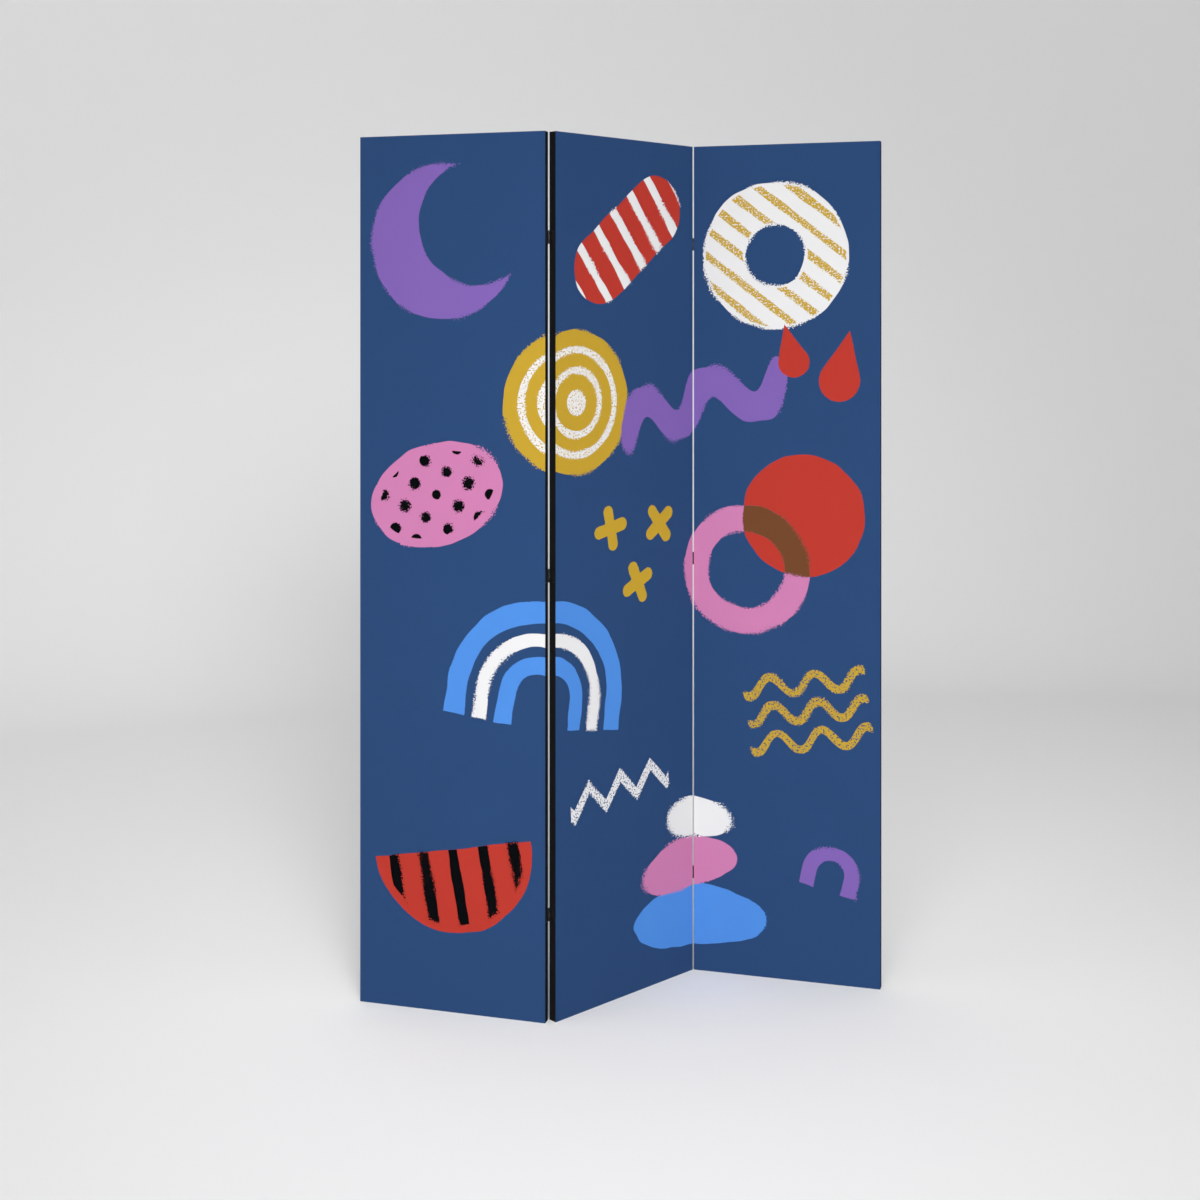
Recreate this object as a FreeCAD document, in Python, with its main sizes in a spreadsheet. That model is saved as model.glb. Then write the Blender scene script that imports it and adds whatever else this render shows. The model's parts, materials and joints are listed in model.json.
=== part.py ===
import FreeCAD, Part
import os

import Sketcher
from FreeCAD import Placement, Rotation, Vector

# A folding screen of three tall panels that stands in a zigzag. Each panel is a timber frame with
# a canvas sheet over its front and its rear, and each fold has three small butt hinges on the
# panels' end faces. Millimetres and degrees, +Z up, the front towards -Y, the origin on the floor
# under the middle of the centre panel, which is also the middle of the whole screen.

# The driving dimensions, one cell each
SIZES = {
    # the panels as they stand
    "panel_height": 1800,
    "panel_width": 405,
    "panel_depth": 19,
    "panel_turn": 30,
    # the sheets on both faces
    "canvas_gauge": 0.5,
    # the timber frame and its glued tenons
    "stile_width": 42,
    "end_rail_width": 45,
    "cross_rail_width": 36,
    "upper_cross_rail_share": 0.67,
    "lower_cross_rail_share": 0.33,
    "tenon_length": 24,
    "tenon_gauge": 6,
    "tenon_shoulder": 7,
    "glue_gap": 0.1,
    "tenon_lead": 1.5,
    # the butt hinges
    "hinge_inset": 213.5,
    "leaf_height": 27,
    "leaf_width": 15,
    "leaf_gauge": 0.7,
    "leaf_corner": 1.5,
    "knuckle_radius": 1.25,
    "knuckle_gap": 0.15,
    "stile_clearance": 0.25,
    "face_clearance": 0.25,
    "pin_radius": 0.65,
    "pin_clearance": 0.05,
    "pin_overhang": 0.4,
    # the wood screws in the hinges
    "screw_radius": 1.25,
    "screw_length": 16,
    "screw_spacing": 15,
    "screw_land": 0.05,
    "screw_fit": 0.08,
}

# The hinges of a fold from the floor up, the knuckles of the two leaves counted from below, and the
# sides of a screw and its holes, which are near enough round at their size
HINGE_LEVELS = ("bottom", "middle", "top")
HINGES = len(HINGE_LEVELS)
CENTRE_KNUCKLES = (0, 2)
OUTER_KNUCKLES = (1,)
KNUCKLES = len(CENTRE_KNUCKLES) + len(OUTER_KNUCKLES)
SCREW_SIDES = 12

# Two places nearer than this are the same
FINE = 1e-6

document = FreeCAD.newDocument("FoldingScreen")
sheet = document.addObject("Spreadsheet::Sheet", "Sizes")
for row, (alias, value) in enumerate(SIZES.items(), start=1):
    sheet.set(f"A{row}", alias)
    sheet.set(f"B{row}", str(value))
    sheet.setAlias(f"B{row}", alias)
document.recompute()

# What follows from the driving dimensions
FRAME_DEPTH = "(Sizes.panel_depth - 2 * Sizes.canvas_gauge)"
HALF_WIDTH = "Sizes.panel_width / 2"
STILE_INSIDE = "(Sizes.panel_width / 2 - Sizes.stile_width)"
TENON_END = f"({STILE_INSIDE} + Sizes.tenon_length)"
PIVOT_ALONG = "(Sizes.panel_width / 2 + Sizes.knuckle_radius + Sizes.stile_clearance)"
PIVOT_BEHIND = "(Sizes.panel_depth / 2 + Sizes.face_clearance)"
LEAF_BACK = "(Sizes.knuckle_radius + Sizes.stile_clearance)"
LEAF_FRONT = f"({LEAF_BACK} - Sizes.leaf_gauge)"
KNUCKLE_LENGTH = f"((Sizes.leaf_height - {KNUCKLES - 1} * Sizes.knuckle_gap) / {KNUCKLES})"
KNUCKLE_PITCH = f"({KNUCKLE_LENGTH} + Sizes.knuckle_gap)"
HINGE_PITCH = f"((Sizes.panel_height - 2 * Sizes.hinge_inset) / {HINGES - 1})"
SCREW_LINE = f"((Sizes.leaf_width + {LEAF_BACK}) / 2)"
SCREW_SLOPE = "(Sizes.leaf_gauge - Sizes.screw_land)"
SCREW_HEAD_RADIUS = f"(Sizes.screw_radius + {SCREW_SLOPE} / cos(180 deg / {SCREW_SIDES}))"
HALF_SPACING_DOWN = "-Sizes.screw_spacing / 2"

parts = []


def size(formula):
    """The formula's value, as a number."""
    return float(sheet.evalExpression(formula))


def start_part(name):
    """An empty body that becomes the sub-part of that name."""
    body = document.addObject("PartDesign::Body", name)
    body.Label = name
    parts.append(body)
    return body


def place(part, along, across, up, turn):
    """Stands a part at its place on the floor plan, turned about the vertical."""
    part.Placement = Placement(Vector(), Rotation(Vector(0, 0, 1), 1))
    part.setExpression("Placement.Base.x", along)
    part.setExpression("Placement.Base.y", across)
    part.setExpression("Placement.Base.z", up)
    part.setExpression("Placement.Rotation.Angle", turn)


def start_sketch(body, name, plane, offset="0"):
    """A sketch on one of the body's own origin planes, offset along the plane's normal."""
    planes = {item.Role: item for item in body.Origin.OriginFeatures}
    sketch = body.newObject("Sketcher::SketchObject", f"{body.Name}_{name}")
    sketch.AttachmentSupport = (planes[plane], [""])
    sketch.MapMode = "FlatFace"
    if offset != "0":
        sketch.setExpression("AttachmentOffset.Base.z", offset)
    return sketch


def fix(sketch, item, point, across, up):
    """Holds a point of the sketch at a place bound to the sheet."""
    for direction, formula in (("DistanceX", across), ("DistanceY", up)):
        constraint = Sketcher.Constraint(direction, -1, 1, item, point, size(formula))
        number = sketch.addConstraint(constraint)
        sketch.setExpression(f"Constraints[{number}]", formula)


def draw_outline(sketch, corners):
    """A closed outline of straight lines through the corners."""
    first = sketch.GeometryCount
    points = [Vector(size(across), size(up), 0) for across, up in corners]
    for start, end in zip(points, points[1:] + points[:1]):
        sketch.addGeometry(Part.LineSegment(start, end))
    for index, (across, up) in enumerate(corners):
        line = first + index
        line_before = first + (index - 1) % len(corners)
        sketch.addConstraint(Sketcher.Constraint("Coincident", line_before, 2, line, 1))
        fix(sketch, line, 1, across, up)


def draw_rectangle(sketch, left, right, low, high):
    """A rectangle between two places across and two places up."""
    draw_outline(sketch, [(left, low), (right, low), (right, high), (left, high)])


def draw_polygon(sketch, across, up, radius):
    """A regular polygon for a screw or its hole, with its corners on a circle of that radius."""
    middle = Vector(size(across), size(up), 0)
    spoke = Vector(size(radius), 0, 0)
    turn = Rotation(Vector(0, 0, 1), 360 / SCREW_SIDES)
    points = [middle + spoke]
    for _ in range(SCREW_SIDES - 1):
        spoke = turn.multVec(spoke)
        points.append(middle + spoke)
    circle = draw_circle(sketch, across, up, radius)
    sketch.toggleConstruction(circle)
    first = sketch.GeometryCount
    for start, end in zip(points, points[1:] + points[:1]):
        sketch.addGeometry(Part.LineSegment(start, end))
    for index in range(SCREW_SIDES):
        line = first + index
        line_before = first + (index - 1) % SCREW_SIDES
        sketch.addConstraint(Sketcher.Constraint("Coincident", line_before, 2, line, 1))
        sketch.addConstraint(Sketcher.Constraint("PointOnObject", line, 1, circle))
        if index > 0:
            sketch.addConstraint(Sketcher.Constraint("Equal", first, line))
    sketch.addConstraint(Sketcher.Constraint("Horizontal", circle, 3, first, 1))


def draw_circle(sketch, across, up, radius):
    """A circle of that radius about a place."""
    middle = Vector(size(across), size(up), 0)
    circle = sketch.addGeometry(Part.Circle(middle, Vector(0, 0, 1), size(radius)))
    fix(sketch, circle, 3, across, up)
    number = sketch.addConstraint(Sketcher.Constraint("Radius", circle, size(radius)))
    sketch.setExpression(f"Constraints[{number}]", radius)
    return circle


def extrude(body, kind, sketch, length, symmetric=True):
    """A Pad or Pocket of the sketch, to both sides of its plane or to one."""
    feature = body.newObject(f"PartDesign::{kind}", f"{sketch.Name}_{kind.lower()}")
    feature.Profile = sketch
    feature.SideType = "Symmetric" if symmetric else "One side"
    feature.setExpression("Length", length)
    return feature


def chamfer_at(body, place_across, radius):
    """Cuts a screw head's slope at the polygon of that radius on the screws' line in one plane."""
    document.recompute()
    base = body.Tip
    across, line, reach = size(place_across), -size(SCREW_LINE), size(radius)
    edges = [
        f"Edge{number}"
        for number, edge in enumerate(base.Shape.Edges, start=1)
        if edge.BoundBox.XLength < FINE
        and abs(edge.BoundBox.XMin - across) < FINE
        and abs(edge.CenterOfMass.y - line) < reach
        and edge.Length < reach
    ]
    slope = body.newObject("PartDesign::Chamfer", f"{body.Name}_slope")
    slope.Base = (base, edges)
    slope.setExpression("Size", SCREW_SLOPE)


def new_row(body, name, count, spacing):
    """A row of copies up the body's Z axis, which needs its originals."""
    axes = {item.Role: item for item in body.Origin.OriginFeatures}
    row = body.newObject("PartDesign::LinearPattern", name)
    row.Direction = (axes["Z_Axis"], [""])
    row.Mode = "Spacing"
    row.setExpression("Offset", spacing)
    row.Occurrences = count
    return row


def repeat_upwards(body, feature, count, spacing):
    """Copies of the feature, one above the other."""
    document.recompute()
    row = new_row(body, f"{feature.Name}_row", count, spacing)
    row.Originals = [feature]
    body.Tip = row


class Panel:
    """One panel's frame and sheets, in its own coordinates from the middle of its foot."""

    # where each rail's middle line is, and its width
    RAILS = {
        "bottom_rail": ("Sizes.end_rail_width / 2", "Sizes.end_rail_width"),
        "lower_cross_rail": (
            "Sizes.panel_height * Sizes.lower_cross_rail_share",
            "Sizes.cross_rail_width",
        ),
        "upper_cross_rail": (
            "Sizes.panel_height * Sizes.upper_cross_rail_share",
            "Sizes.cross_rail_width",
        ),
        "top_rail": ("Sizes.panel_height - Sizes.end_rail_width / 2", "Sizes.end_rail_width"),
    }

    def __init__(self, name, along, turn, hinged):
        self.name = name
        self.along = along
        self.turn = turn
        # the sides with hinges, +1 or -1 along the panel, and the face they pivot at
        self.hinged = hinged

    def build(self):
        for side, side_name in ((-1, "left"), (1, "right")):
            self.build_stile(side, side_name)
        for rail, (middle, width) in self.RAILS.items():
            self.build_rail(rail, middle, width)
        for face, face_name in ((-1, "front"), (1, "rear")):
            self.build_canvas(face, face_name)

    def stand(self, part):
        place(part, self.along, "0", "0", self.turn)

    def build_stile(self, side, side_name):
        """The upright, mortised for the rails and drilled for the hinge screws."""
        stile = start_part(f"{self.name}_{side_name}_stile")
        profile = start_sketch(stile, "profile", "XY_Plane")
        draw_rectangle(
            profile,
            *sorted((f"{side} * {HALF_WIDTH}", f"{side} * {STILE_INSIDE}"), key=size),
            f"-{FRAME_DEPTH} / 2",
            f"{FRAME_DEPTH} / 2",
        )
        extrude(stile, "Pad", profile, "Sizes.panel_height", symmetric=False)
        mortises = start_sketch(stile, "mortises", "XZ_Plane")
        for middle, width in self.RAILS.values():
            half = f"({width} / 2 - Sizes.tenon_shoulder + Sizes.glue_gap)"
            inside = f"{side} * {STILE_INSIDE}"
            bottom = f"{side} * ({TENON_END} + Sizes.glue_gap)"
            draw_rectangle(
                mortises,
                *sorted((inside, bottom), key=size),
                f"{middle} - {half}",
                f"{middle} + {half}",
            )
        extrude(stile, "Pocket", mortises, "Sizes.tenon_gauge + 2 * Sizes.glue_gap")
        if side in self.hinged:
            drill_for_screws(stile, side, self.hinged[side])
        self.stand(stile)

    def build_rail(self, rail, middle, width):
        """A rail between the stiles, with a stub tenon at each end whose corners are cut off."""
        part = start_part(f"{self.name}_{rail}")
        body = start_sketch(part, "body", "XZ_Plane")
        draw_rectangle(
            body,
            f"-{STILE_INSIDE}",
            STILE_INSIDE,
            f"{middle} - {width} / 2",
            f"{middle} + {width} / 2",
        )
        extrude(part, "Pad", body, FRAME_DEPTH)
        tenons = start_sketch(part, "tenons", "XZ_Plane")
        half = f"({width} / 2 - Sizes.tenon_shoulder)"
        lead_along = f"({TENON_END} - Sizes.tenon_lead)"
        lead_up = f"({half} - Sizes.tenon_lead)"
        corners = [
            (TENON_END, f"{middle} - {lead_up}"),
            (TENON_END, f"{middle} + {lead_up}"),
            (lead_along, f"{middle} + {half}"),
            (f"-{lead_along}", f"{middle} + {half}"),
            (f"-{TENON_END}", f"{middle} + {lead_up}"),
            (f"-{TENON_END}", f"{middle} - {lead_up}"),
            (f"-{lead_along}", f"{middle} - {half}"),
            (lead_along, f"{middle} - {half}"),
        ]
        draw_outline(tenons, corners)
        extrude(part, "Pad", tenons, "Sizes.tenon_gauge")
        self.stand(part)

    def build_canvas(self, face, face_name):
        """A sheet over the whole face of the frame."""
        canvas = start_part(f"{self.name}_{face_name}_canvas")
        outline = start_sketch(canvas, "outline", "XY_Plane")
        draw_rectangle(
            outline,
            f"-{HALF_WIDTH}",
            HALF_WIDTH,
            *sorted((f"{face} * {FRAME_DEPTH} / 2", f"{face} * Sizes.panel_depth / 2"), key=size),
        )
        extrude(canvas, "Pad", outline, "Sizes.panel_height", symmetric=False)
        self.stand(canvas)


def drill_for_screws(stile, side, face):
    """Pilot holes into the stile's end face, a pair behind each hinge leaf."""
    line = f"{face} * ({PIVOT_BEHIND} - {SCREW_LINE})"
    holes = start_sketch(stile, "pilots", "YZ_Plane", f"{side} * {HALF_WIDTH}")
    for end in (-1, 1):
        height = f"Sizes.hinge_inset + {end} * Sizes.screw_spacing / 2"
        draw_polygon(holes, line, height, "Sizes.screw_radius + Sizes.screw_fit")
    depth = "(Sizes.screw_length - Sizes.leaf_gauge + Sizes.screw_fit)"
    first_pair = extrude(stile, "Pocket", holes, f"2 * {depth}")
    repeat_upwards(stile, first_pair, HINGES, HINGE_PITCH)


def build_leaf(name, side, knuckles):
    """One leaf about the hinge's axis, its back to +X or -X by side, with every second knuckle."""
    leaf = start_part(name)
    plate = start_sketch(leaf, "plate", "XY_Plane")
    draw_rectangle(
        plate,
        *sorted((f"{side} * {LEAF_FRONT}", f"{side} * {LEAF_BACK}"), key=size),
        "-Sizes.leaf_width",
        f"-{LEAF_BACK}",
    )
    extrude(leaf, "Pad", plate, "Sizes.leaf_height")
    document.recompute()
    round_corners(leaf, "Sizes.leaf_corner")
    foot = f"-Sizes.leaf_height / 2 + {knuckles[0]} * {KNUCKLE_PITCH}"
    knuckle = start_sketch(leaf, "knuckle", "XY_Plane", foot)
    draw_knuckle(knuckle, side)
    first = extrude(leaf, "Pad", knuckle, KNUCKLE_LENGTH, symmetric=False)
    if len(knuckles) > 1:
        repeat_upwards(leaf, first, len(knuckles), f"2 * {KNUCKLE_PITCH}")
    bore = start_sketch(leaf, "bore", "XY_Plane")
    draw_circle(bore, "0", "0", "Sizes.pin_radius + Sizes.pin_clearance")
    extrude(leaf, "Pocket", bore, "2 * Sizes.leaf_height")
    holes = start_sketch(leaf, "screw_holes", "YZ_Plane")
    for end in (-1, 1):
        height = f"{end} * Sizes.screw_spacing / 2"
        draw_polygon(holes, f"-{SCREW_LINE}", height, "Sizes.screw_radius + Sizes.screw_fit")
    extrude(leaf, "Pocket", holes, f"2 * ({LEAF_BACK} + Sizes.leaf_gauge)")
    chamfer_at(leaf, f"{side} * {LEAF_FRONT}", "Sizes.screw_radius + Sizes.screw_fit")
    return leaf


def round_corners(leaf, radius):
    """Rounds the plate's two free corners, at the edges furthest from the hinge's axis."""
    plate = leaf.Tip
    far = plate.Shape.BoundBox.YMin
    corners = [
        f"Edge{number}"
        for number, edge in enumerate(plate.Shape.Edges, start=1)
        if abs(edge.BoundBox.YMax - far) < FINE and edge.BoundBox.ZLength < FINE
    ]
    fillet = leaf.newObject("PartDesign::Fillet", f"{leaf.Name}_corners")
    fillet.Base = (plate, corners)
    fillet.setExpression("Radius", radius)


def draw_knuckle(sketch, side):
    """The rolled end of a leaf: a round about the axis with a short neck to the plate."""
    radius = size("Sizes.knuckle_radius")
    front, back = size(LEAF_FRONT), size(LEAF_BACK)
    quarter = Vector(side * radius, 0, 0)
    meet = Vector(side * front, -((radius**2 - front**2) ** 0.5), 0)
    corner = Vector(side * back, 0, 0)
    back_foot = Vector(side * back, -back, 0)
    front_foot = Vector(side * front, -back, 0)
    round_end = sketch.addGeometry(Part.Arc(quarter, -quarter, meet))
    neck_front = sketch.addGeometry(Part.LineSegment(meet, front_foot))
    foot = sketch.addGeometry(Part.LineSegment(front_foot, back_foot))
    neck_back = sketch.addGeometry(Part.LineSegment(back_foot, corner))
    shoulder = sketch.addGeometry(Part.LineSegment(corner, quarter))
    # an arc runs anticlockwise, so which of its ends is at the shoulder depends on the side
    arc_shoulder, arc_neck = (1, 2) if side > 0 else (2, 1)
    for pair in (
        (round_end, arc_neck, neck_front, 1),
        (neck_front, 2, foot, 1),
        (foot, 2, neck_back, 1),
        (neck_back, 2, shoulder, 1),
        (shoulder, 2, round_end, arc_shoulder),
        (round_end, 3, -1, 1),
    ):
        sketch.addConstraint(Sketcher.Constraint("Coincident", *pair))
    sketch.addConstraint(Sketcher.Constraint("Vertical", neck_front))
    fix(sketch, neck_back, 1, f"{side} * {LEAF_BACK}", f"-{LEAF_BACK}")
    fix(sketch, neck_back, 2, f"{side} * {LEAF_BACK}", "0")
    fix(sketch, foot, 1, f"{side} * {LEAF_FRONT}", f"-{LEAF_BACK}")
    fix(sketch, round_end, arc_shoulder, f"{side} * Sizes.knuckle_radius", "0")


def build_pin(name):
    """The hinge's pin, which stands a little proud of the knuckles at both ends."""
    pin = start_part(name)
    section = start_sketch(pin, "section", "XY_Plane")
    draw_circle(section, "0", "0", "Sizes.pin_radius")
    extrude(pin, "Pad", section, "Sizes.leaf_height + 2 * Sizes.pin_overhang")
    return pin


def build_screws(name, side):
    """The countersunk screws of one row of leaves, each leaf's pair about its middle."""
    screws = start_part(name)
    screws.AllowCompound = True
    line = f"-{SCREW_LINE}"
    head = start_sketch(screws, "head", "YZ_Plane", f"{side} * {LEAF_FRONT}")
    draw_polygon(head, line, HALF_SPACING_DOWN, SCREW_HEAD_RADIUS)
    head_pad = extrude(screws, "Pad", head, "Sizes.leaf_gauge", symmetric=False)
    head_pad.Reversed = side < 0
    chamfer_at(screws, f"{side} * {LEAF_BACK}", SCREW_HEAD_RADIUS)
    shank = start_sketch(screws, "shank", "YZ_Plane", f"{side} * {LEAF_FRONT}")
    draw_polygon(shank, line, HALF_SPACING_DOWN, "Sizes.screw_radius")
    shank_pad = extrude(screws, "Pad", shank, "Sizes.screw_length", symmetric=False)
    shank_pad.Reversed = side < 0
    document.recompute()
    array = screws.newObject("PartDesign::MultiTransform", f"{name}_array")
    array.TransformMode = "Whole shape"
    array.Transformations = [
        new_row(screws, f"{name}_pair", 2, "Sizes.screw_spacing"),
        new_row(screws, f"{name}_hinges", HINGES, HINGE_PITCH),
    ]
    screws.Tip = array
    return screws


# The floor plan: the middles of both outer panels lie on the X axis, and each pivot is halfway
# between two panels' middles, off the axis to the side that its fold closes to
TURN_COS = "cos(Sizes.panel_turn * 1 deg)"
TURN_SIN = "sin(Sizes.panel_turn * 1 deg)"
PIVOT_X = f"({PIVOT_ALONG} * {TURN_COS} + {PIVOT_BEHIND} * {TURN_SIN})"
PIVOT_Y = f"({PIVOT_ALONG} * {TURN_SIN} - {PIVOT_BEHIND} * {TURN_COS})"
OUTER_ALONG = f"2 * {PIVOT_X}"

# The left fold pivots behind the panels and the right fold in front of them
REAR, FRONT = 1, -1
for panel in (
    Panel("left_panel", f"-{OUTER_ALONG}", "-Sizes.panel_turn", {1: REAR}),
    Panel("centre_panel", "0", "Sizes.panel_turn", {-1: REAR, 1: FRONT}),
    Panel("right_panel", OUTER_ALONG, "-Sizes.panel_turn", {-1: FRONT}),
):
    panel.build()

# The right fold is the left one turned half round, so one set of signs and turns gives both
for fold, sign, half_turn in (("left_fold", -1, "0"), ("right_fold", 1, "180")):
    pivot = (f"{sign} * {PIVOT_X}", f"{sign} * {PIVOT_Y}")
    for side, leaf_name, knuckles, turn in (
        (1, "centre", CENTRE_KNUCKLES, f"{half_turn} + Sizes.panel_turn"),
        (-1, "outer", OUTER_KNUCKLES, f"{half_turn} - Sizes.panel_turn"),
    ):
        for step, level in enumerate(HINGE_LEVELS):
            height = f"Sizes.hinge_inset + {step} * {HINGE_PITCH}"
            leaf = build_leaf(f"{fold}_{level}_hinge_{leaf_name}_leaf", side, knuckles)
            place(leaf, *pivot, height, turn)
        place(build_screws(f"{fold}_{leaf_name}_screws", side), *pivot, "Sizes.hinge_inset", turn)
    for step, level in enumerate(HINGE_LEVELS):
        height = f"Sizes.hinge_inset + {step} * {HINGE_PITCH}"
        place(build_pin(f"{fold}_{level}_hinge_pin"), *pivot, height, "0")

document.recompute()

for item in document.Objects:
    if "Invalid" in item.State or "Error" in item.State:
        raise RuntimeError(f"{item.Name} did not build: {item.State}")
for part in parts:
    if part.Shape.isNull() or not part.Shape.isValid():
        raise RuntimeError(f"{part.Label} has no valid shape")

os.makedirs("parts", exist_ok=True)
for part in parts:
    part.Shape.exportStep(f"parts/{part.Label}.step")
    print(f"{part.Label}: {len(part.Shape.Solids)} solid(s), {part.Shape.Volume:.1f} mm3")
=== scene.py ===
"""A folding screen of three canvas panels that stands in a zigzag on a studio floor.

Metres, +Z up, the printed front towards -Y. Small metal parts are modelled in millimetres about the
hinge's own axis and brought to metres when they are set in place.
"""

import json
import logging
import math
from collections.abc import Callable, Iterator
from contextlib import contextmanager
from dataclasses import dataclass, replace
from enum import Enum

import bmesh
import bpy
from bpy.types import Material, Node, NodeSocket, Object
from mathutils import Color, Matrix, Vector

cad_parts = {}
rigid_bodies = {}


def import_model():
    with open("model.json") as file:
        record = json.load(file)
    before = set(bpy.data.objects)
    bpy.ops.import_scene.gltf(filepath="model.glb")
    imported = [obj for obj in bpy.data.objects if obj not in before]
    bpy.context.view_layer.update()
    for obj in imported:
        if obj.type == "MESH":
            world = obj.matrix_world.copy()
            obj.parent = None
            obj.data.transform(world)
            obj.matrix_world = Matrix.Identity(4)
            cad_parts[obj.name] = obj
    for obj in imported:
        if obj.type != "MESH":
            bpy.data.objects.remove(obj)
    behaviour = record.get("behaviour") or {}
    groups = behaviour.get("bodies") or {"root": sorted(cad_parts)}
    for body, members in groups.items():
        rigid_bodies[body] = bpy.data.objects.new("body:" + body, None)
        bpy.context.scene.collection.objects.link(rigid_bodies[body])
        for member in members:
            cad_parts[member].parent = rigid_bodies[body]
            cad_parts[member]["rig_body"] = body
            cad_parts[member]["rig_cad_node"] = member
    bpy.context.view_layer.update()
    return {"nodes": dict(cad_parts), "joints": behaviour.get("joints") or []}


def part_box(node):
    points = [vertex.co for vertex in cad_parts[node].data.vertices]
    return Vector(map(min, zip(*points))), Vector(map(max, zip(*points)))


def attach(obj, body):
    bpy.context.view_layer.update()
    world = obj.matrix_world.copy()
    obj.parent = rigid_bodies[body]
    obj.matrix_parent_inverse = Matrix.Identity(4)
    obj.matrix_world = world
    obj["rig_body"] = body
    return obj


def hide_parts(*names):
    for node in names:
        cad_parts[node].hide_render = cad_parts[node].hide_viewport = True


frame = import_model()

log = logging.getLogger("folding_screen")

Colour = tuple[float, float, float, float]
Point = tuple[float, float, float]

SHEET_MAP = "sheet"
MILLIMETRE = 0.001
CLOSE = 1e-5
# The least part of a face's normal along an axis, for a face that looks that way
FACING = 0.9
ROUND_STEPS = 3
MATRIX_SIZE = 4
TOP_LEVEL = 255
# The mean of a noise, and how far a ramp has risen where its number crosses nought
HALFWAY = 0.5


def turned(angle: float, axis: str = "Z") -> Matrix:
    """A turn about an axis through the origin."""
    return Matrix.Rotation(angle, MATRIX_SIZE, axis)


class Side(Enum):
    """A side of a panel or of a hinge, as the sign of its direction along the panel."""

    LEFT = -1
    RIGHT = 1


class Face(Enum):
    """A face of a panel, as the sign of its direction across the panel."""

    FRONT = -1
    REAR = 1


class Grain(Enum):
    """Which way the timber's grain runs in a frame piece."""

    UPRIGHT = "upright"
    ALONG = "along"


@dataclass(frozen=True)
class Place:
    """Where a panel or a hinge stands, and its turn about the vertical."""

    x: float
    y: float
    z: float
    turn: float

    def matrix(self, scale: float = 1.0) -> Matrix:
        """The move from the piece's own coordinates, in its own unit, to the screen's."""
        spot = Matrix.Translation((self.x, self.y, self.z))
        return spot @ turned(self.turn) @ Matrix.Scale(scale, MATRIX_SIZE)


@dataclass(frozen=True)
class ScreenSizes:
    """The sizes that the panels, their frames and their hinges share."""

    panel_width: float = 0.405
    panel_height: float = 1.8
    panel_depth: float = 0.019
    panel_turn: float = math.radians(30)
    canvas_gauge: float = 0.0005
    stile_width: float = 0.042
    end_rail_width: float = 0.045
    cross_rail_width: float = 0.036
    lower_cross_rail_share: float = 0.33
    upper_cross_rail_share: float = 0.67

    @property
    def half_width(self) -> float:
        """Half a panel's width."""
        return self.panel_width / 2

    @property
    def stile_inside(self) -> float:
        """From a panel's middle line to the inner edge of a stile."""
        return self.half_width - self.stile_width

    def rail_spans(self) -> list[tuple[float, float]]:
        """Where the rails are.

        Returns:
            The lowest and highest point of each, from the floor up.
        """
        half_cross = self.cross_rail_width / 2
        lower = self.panel_height * self.lower_cross_rail_share
        upper = self.panel_height * self.upper_cross_rail_share
        return [
            (0.0, self.end_rail_width),
            (lower - half_cross, lower + half_cross),
            (upper - half_cross, upper + half_cross),
            (self.panel_height - self.end_rail_width, self.panel_height),
        ]


SIZES = ScreenSizes()


def linear(red: int, green: int, blue: int) -> Colour:
    """A paint colour mixed by its screen values, as the linear colour that a shader takes.

    Args:
        red, green, blue: the colour's levels, from 0 to 255.

    Returns:
        The linear red, green and blue, and full opacity.
    """
    colour = Color((red, green, blue)) / TOP_LEVEL
    return (*colour.from_srgb_to_scene_linear(), 1.0)


# Modelling by hand: one active piece at a time, shaped with the mesh operators


def deselect_all() -> None:
    """Leaves nothing selected, so that an operator acts only on what is chosen next."""
    bpy.ops.object.select_all(action="DESELECT")


def take_up(piece: Object) -> None:
    """Makes one piece the only one selected, and the active one.

    Args:
        piece: the piece.
    """
    deselect_all()
    piece.select_set(True)
    bpy.context.view_layer.objects.active = piece


def name_active(name: str) -> Object:
    """Names the active object, with its place and size taken into its mesh.

    Args:
        name: the piece's name.

    Returns:
        The piece.
    """
    bpy.ops.object.transform_apply(location=True, rotation=True, scale=True)
    piece = bpy.context.active_object
    piece.name = piece.data.name = name
    return piece


def add_box(name: str, size: Vector, middle: Vector) -> Object:
    """A block to start a piece from.

    Args:
        name: the piece's name.
        size: its extent along each axis.
        middle: its centre.

    Returns:
        The block.
    """
    deselect_all()
    bpy.ops.mesh.primitive_cube_add(size=1, location=middle, scale=size)
    return name_active(name)


def add_round(name: str, radius: float, length: float, sides: int, middle: Vector) -> Object:
    """A round bar along Z to start a piece from.

    Args:
        name: the piece's name.
        radius: the bar's radius.
        length: its length.
        sides: how many flats its round has.
        middle: its centre.

    Returns:
        The bar.
    """
    deselect_all()
    bpy.ops.mesh.primitive_cylinder_add(vertices=sides, radius=radius, depth=length, location=middle)
    return name_active(name)


@contextmanager
def editing(piece: Object, elements: str = "FACE", whole: bool = False) -> Iterator[None]:
    """Edit mode on one piece, with all or nothing of it selected at first.

    Args:
        piece: the piece to shape.
        elements: what is selected: VERT, EDGE or FACE.
        whole: whether all of it is.

    Returns:
        The time in edit mode, for a with statement.
    """
    take_up(piece)
    bpy.ops.object.mode_set(mode="EDIT")
    bpy.ops.mesh.select_mode(type=elements)
    bpy.ops.mesh.select_all(action="SELECT" if whole else "DESELECT")
    yield
    bpy.ops.object.mode_set(mode="OBJECT")


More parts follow.
